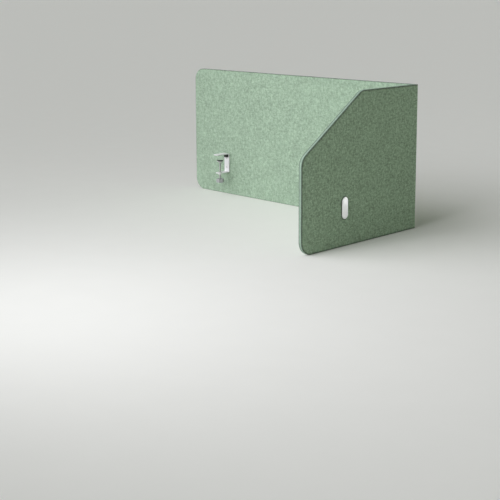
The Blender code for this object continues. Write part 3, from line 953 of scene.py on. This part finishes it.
def foot_mesh(finish):
    """A pressure disc with a socket that holds the spindle's ball."""
    low, high = own_box("foot")
    radius = (high.x - low.x) / 2
    top, bottom = high.z, low.z
    rim = radius - FOOT_EDGE
    disc_low = top - FOOT_DISC
    fillet = (FOOT_HUB_TOP + FOOT_FILLET, disc_low - FOOT_HUB_DROP - FOOT_FILLET)
    hub_edge = (FOOT_HUB_BOTTOM - FOOT_HUB_EDGE, bottom + FOOT_HUB_EDGE)
    socket_radius = BALL_RADIUS + SOCKET_CLEARANCE
    socket_top = top - SOCKET_ROOF
    profile = [(radius - FOOT_FLAT, top)]
    profile += quarter((rim, top - FOOT_EDGE), FOOT_EDGE, 90, 0)
    profile += quarter((rim, disc_low + FOOT_EDGE), FOOT_EDGE, 0, -80)
    profile += quarter(fillet, FOOT_FILLET, 90, 180)
    profile += [(FOOT_HUB_BOTTOM, bottom + FOOT_HUB_EDGE)]
    profile += quarter(hub_edge, FOOT_HUB_EDGE, 0, -90, 3)
    profile += [(SOCKET_MOUTH + SOCKET_MOUTH_EDGE, bottom), (SOCKET_MOUTH, bottom + SOCKET_MOUTH_EDGE)]
    profile += [(SOCKET_MOUTH, bottom + SOCKET_MOUTH_TOP), (socket_radius, bottom + SOCKET_WALL_FOOT)]
    profile += [(socket_radius, socket_top - SOCKET_EDGE), (socket_radius - SOCKET_ROOF_EDGE, socket_top)]
    return finished(as_mesh(turned(profile), "foot"), finish)


def foot_pad_mesh(finish):
    """A rubber disc with ring grooves in the face that meets the desktop."""
    low, high = own_box("foot_pad")
    radius = (high.x - low.x) / 2
    depth = PAD_GROOVE_DEPTH
    profile = []
    for centre in PAD_GROOVES:
        profile += [(centre - depth, high.z), (centre, high.z - depth), (centre + depth, high.z)]
    profile += quarter((radius - PAD_EDGE, high.z - PAD_EDGE), PAD_EDGE, 90, 0)
    profile += [(radius, low.z + PAD_BURR), (radius - PAD_BURR, low.z)]
    return finished(as_mesh(turned(profile), "foot_pad"), finish)


def thread_radius(angle, height):
    """Radius of a right-hand thread at an angle and a height."""
    phase = (height / THREAD_PITCH - angle / (2 * math.pi)) % 1
    slope = min(1, max(0, abs(phase - 0.5) * 2 * 1.3 - 0.12))
    return SPINDLE_RADIUS - THREAD_DEPTH * slope


def spindle_mesh(finish):
    """A screw with a ball end, a neck and a rolled thread. Its lower end is set in the knob."""
    low, high = own_box("spindle")
    ball_top = high.z
    centre = ball_top - BALL_RADIUS
    neck_angle = math.degrees(math.asin(NECK_RADIUS / BALL_RADIUS))
    foot_bottom = own_box("foot")[0].z
    shoulder = foot_bottom - SHOULDER_DROP
    steps = SMALL_ROUND
    rings = []
    for radius, height in quarter((0, centre), BALL_RADIUS, 88, neck_angle - 90, 18):
        rings.append(circle(radius, height, steps))
    rings += [circle(NECK_RADIUS, shoulder + SHOULDER_EDGE, steps)]
    rings += [circle(NECK_RADIUS + SHOULDER_EDGE, shoulder, steps)]
    thread_top = shoulder - THREAD_START
    chamfer = 2 * THREAD_DEPTH
    count = int((thread_top - low.z) / THREAD_PITCH * THREAD_STEPS)
    for index in range(count + 1):
        height = thread_top - index * THREAD_PITCH / THREAD_STEPS
        limit = SPINDLE_RADIUS - THREAD_DEPTH - THREAD_START + min(thread_top - height, chamfer)
        ring = []
        for point in circle(1, height, steps):
            angle = math.atan2(point.y, point.x)
            radius = min(thread_radius(angle, height), limit)
            ring.append(Vector((point.x * radius, point.y * radius, height)))
        rings.append(ring)
    rings.append(circle(SPINDLE_RADIUS - THREAD_DEPTH, low.z, steps))
    return finished(as_mesh(lofted(rings), "spindle"), finish)


def lobed_ring(radius, inset, height):
    """A ring that follows the knob's lobes, moved in by inset."""
    ring = []
    for point in circle(1, height, KNOB_LOBES * KNOB_LOBE_STEPS):
        angle = math.atan2(point.y, point.x)
        reach = radius - KNOB_LOBE + KNOB_LOBE * math.cos(KNOB_LOBES * angle) - inset
        ring.append(Vector((point.x * reach, point.y * reach, height)))
    return ring


def knob_mesh(finish):
    """A lobed knob with rounded rims, a shallow dish in each face and a blind bore for the spindle."""
    low, high = own_box("knob")
    radius = max(high.x - low.x, high.y - low.y) / 2
    steps = KNOB_LOBES * KNOB_LOBE_STEPS
    bore = SPINDLE_RADIUS + GAP
    floor, rim = KNOB_LOWER_DISH
    rings = [circle(floor, low.z + KNOB_DISH, steps), circle(rim, low.z, steps)]
    for inset, height in quarter((KNOB_EDGE, low.z + KNOB_EDGE), KNOB_EDGE, 270, 180, 6):
        rings.append(lobed_ring(radius, inset, height))
    for inset, height in quarter((KNOB_EDGE, high.z - KNOB_EDGE), KNOB_EDGE, 180, 90, 6):
        rings.append(lobed_ring(radius, inset, height))
    inner_rim, inner_floor, outer_floor, outer_rim = KNOB_UPPER_DISH
    rings += [circle(outer_rim, high.z, steps), circle(outer_floor, high.z - KNOB_DISH, steps)]
    rings += [circle(inner_floor, high.z - KNOB_DISH, steps), circle(inner_rim, high.z, steps)]
    rings += [circle(bore + GAP, high.z, steps), circle(bore, high.z - GAP, steps)]
    rings += [circle(bore, high.z - KNOB_BORE_DEPTH, steps)]
    return finished(as_mesh(lofted(rings), "knob"), finish)


# Assembly


def show(name, mesh, place, body, node):
    """A fine piece in its place. It rides on its body and stands for a frame node."""
    piece = bpy.data.objects.new(name, mesh)
    bpy.context.scene.collection.objects.link(piece)
    piece.matrix_world = place
    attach(piece, body)
    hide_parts(node)


def add_felt():
    sheet = bpy.data.objects.new("felt_screen", felt_sheet_mesh(felt_look(), cut_felt_look()))
    bpy.context.scene.collection.objects.link(sheet)
    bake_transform(sheet)
    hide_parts("rear_panel", "side_panel", "fold_skin")


def add_clamps():
    coat, satin, zinc = powder_coat_look(), aluminium_look(), zinc_look()
    rubber, plastic = rubber_look(), knob_look()
    screw = screw_mesh(zinc)
    at_the_edge = {
        "bracket": (bracket_mesh(coat), "white_steel"),
        "tongue_pad": (tongue_pad_mesh(rubber), "rubber"),
        "edge_bumper": (edge_bumper_mesh(rubber), "rubber"),
        "cover_plate": (cover_plate_mesh(satin), "satin_aluminium"),
    }
    on_the_axis = {
        "weld_nut": (weld_nut_mesh(coat), "white_steel", None),
        "foot": (foot_mesh(zinc), "zinc", "foot"),
        "foot_pad": (foot_pad_mesh(rubber), "rubber", "foot"),
        "spindle": (spindle_mesh(zinc), "zinc", "spindle"),
        "knob": (knob_mesh(plastic), "grey_plastic", "spindle"),
    }
    screw_face = own_box("bracket")[0].y + STEEL
    for clamp in CLAMPS:
        place = clamp_place(clamp)
        host = HOSTS[clamp]
        for piece, (mesh, slot) in at_the_edge.items():
            show(f"{clamp}_clamp_{piece}", mesh, place, host, f"{clamp}_{piece}")
        for piece, height in zip(("lower_screw", "upper_screw"), screw_heights()):
            at = place @ Matrix.Translation((0, screw_face, height))
            show(f"{clamp}_clamp_{piece}", screw, at, host, f"{clamp}_{piece}")
        at = place @ Matrix.Translation(AWAY * spindle_out())
        for piece, (mesh, slot, rider) in on_the_axis.items():
            body = f"{clamp}_{rider}" if rider else host
            show(f"{clamp}_clamp_{piece}", mesh, at, body, f"{clamp}_{piece}")


# Studio


WINDOW = (1.0, 0.97, 1.06)  # tints of the light
HALL = (0.965, 1.0, 0.90)
GLOW_TINT = (0.99, 1.0, 1.0)
WORLD_LOBES = (  # axis, cosines of its rim and of its core, brightness, tint
    ((0, 0, 1), 0.70, 0.98, 0.6, HALL),
    ((-0.55, -0.835, 0.50), 0.62, 0.97, 2.4, WINDOW),
)
HORIZON = 0.50  # brightness of the hall's wall
HORIZON_TOP = (0.14, 0.34)  # rises between which the wall fades out
HORIZON_RIGHT = (0.1, 0.7)  # parts of +X between which it falls to HORIZON_RIGHT_SHARE
HORIZON_RIGHT_SHARE = 0.1
GLOW_AXIS = (0.65, 0.76, 0)
GLOW = 6.2
GLOW_SIDES = (0.92, 0.99)  # cosines of the glow's rim and of its core
GLOW_TOP = (0.10, 0.26)
KEY_PLACE = (0.55, -1.7, 1.3)
KEY_TARGET = (0.35, 0.3, 0.3)
KEY_SIZE = (0.9, 0.7)
KEY_WATTS = 14
FLOOR_REACH = 120.0
FLOOR_BELOW = 0.0002
CAMERA_PLACE = (3.016, -2.910, 0.897)
CAMERA_AZIMUTH = math.radians(45.64)  # of the camera's right, from +X
CAMERA_PITCH = math.radians(-9.86)
CAMERA_ROLL = math.radians(-0.25)
CAMERA_LENS = 77.4  # millimetres, on a sensor 36 mm wide
CAMERA_SHIFT_UP = -0.15


def floor_look():
    material = new_look("pale_floor")
    tree = material.node_tree
    place = add(tree, "ShaderNodeTexCoord").outputs["Object"]
    mottle = grain(tree, place, (9, 9, 9), detail=4.0)
    color = blended(tree, mottle, (0.815, 0.835, 0.775, 1), (0.835, 0.855, 0.795, 1))
    roughness = stepped(tree, mottle, 0.2, 0.8, 0.86, 0.94)
    return finish_look(material, color, roughness, mottle, 0.00002, Specular_IOR_Level=0.0)


def add_floor():
    shape = bmesh.new()
    bmesh.ops.create_grid(shape, x_segments=2, y_segments=2, size=FLOOR_REACH)
    mesh = bpy.data.meshes.new("floor")
    shape.to_mesh(mesh)
    shape.free()
    mesh.materials.append(floor_look())
    floor = bpy.data.objects.new("floor", mesh)
    floor.location.z = cad_low.z - FLOOR_BELOW
    bpy.context.scene.collection.objects.link(floor)


def add_area_light(name, place, target, size, power, color):
    light = bpy.data.lights.new(name, "AREA")
    light.shape = "RECTANGLE"
    light.size, light.size_y = size
    light.energy = power
    light.color = color
    lamp = bpy.data.objects.new(name, light)
    lamp.location = place
    lamp.rotation_euler = (Vector(target) - Vector(place)).to_track_quat("-Z", "Y").to_euler()
    bpy.context.scene.collection.objects.link(lamp)


def add_lights():
    """A hall with a wide soft window at the front left, a pale wall and a low glow at the rear right."""
    add_area_light("key", KEY_PLACE, KEY_TARGET, KEY_SIZE, KEY_WATTS, WINDOW)
    world = bpy.data.worlds.new("studio")
    world.use_nodes = True
    tree = world.node_tree
    direction = add(tree, "ShaderNodeTexCoord").outputs["Generated"]
    parts = add(tree, "ShaderNodeSeparateXYZ", {0: direction})
    rise = parts.outputs["Z"]
    wall = stepped(tree, rise, *HORIZON_TOP, HORIZON, 0)
    rightward = stepped(tree, parts.outputs["X"], *HORIZON_RIGHT, 1, HORIZON_RIGHT_SHARE)
    wall = sum_of(tree, "MULTIPLY", wall, rightward)
    light = tinted(tree, HALL, wall)
    level = vector_of(tree, "MULTIPLY", direction, (1, 1, 0))
    level = add(tree, "ShaderNodeVectorMath", {0: level}, operation="NORMALIZE")
    toward = Vector(GLOW_AXIS).normalized()
    along = add(tree, "ShaderNodeVectorMath", {0: level.outputs[0], 1: toward}, operation="DOT_PRODUCT")
    glow = stepped(tree, along.outputs["Value"], *GLOW_SIDES, 0, GLOW)
    glow = sum_of(tree, "MULTIPLY", glow, stepped(tree, rise, *GLOW_TOP, 1, 0))
    light = vector_of(tree, "ADD", light, tinted(tree, GLOW_TINT, glow))
    for axis, low, high, power, tint in WORLD_LOBES:
        toward = Vector(axis).normalized()
        along = add(tree, "ShaderNodeVectorMath", {0: direction, 1: toward}, operation="DOT_PRODUCT")
        lobe = tinted(tree, tint, stepped(tree, along.outputs["Value"], low, high, 0, power))
        light = vector_of(tree, "ADD", light, lobe)
    tree.links.new(light, tree.nodes["Background"].inputs["Color"])
    bpy.context.scene.world = world
    bpy.context.scene.view_settings.view_transform = "Standard"


def add_camera():
    """A camera to the right of the wing and in front of it, a little above the screen's top edge."""
    data = bpy.data.cameras.new("camera")
    data.sensor_width = 36
    data.lens = CAMERA_LENS
    data.shift_y = CAMERA_SHIFT_UP
    camera = bpy.data.objects.new("camera", data)
    level_right = Vector((math.cos(CAMERA_AZIMUTH), math.sin(CAMERA_AZIMUTH), 0))
    level_ahead = Vector((-math.sin(CAMERA_AZIMUTH), math.cos(CAMERA_AZIMUTH), 0))
    ahead = level_ahead * math.cos(CAMERA_PITCH) + UP * math.sin(CAMERA_PITCH)
    level_up = level_right.cross(ahead)
    right = level_right * math.cos(CAMERA_ROLL) + level_up * math.sin(CAMERA_ROLL)
    up = right.cross(ahead)
    turn = Matrix((right, up, -ahead)).transposed().to_4x4()
    camera.matrix_world = Matrix.Translation(CAMERA_PLACE) @ turn
    bpy.context.scene.collection.objects.link(camera)
    bpy.context.scene.camera = camera


add_camera()
add_felt()
add_clamps()
add_floor()
add_lights()
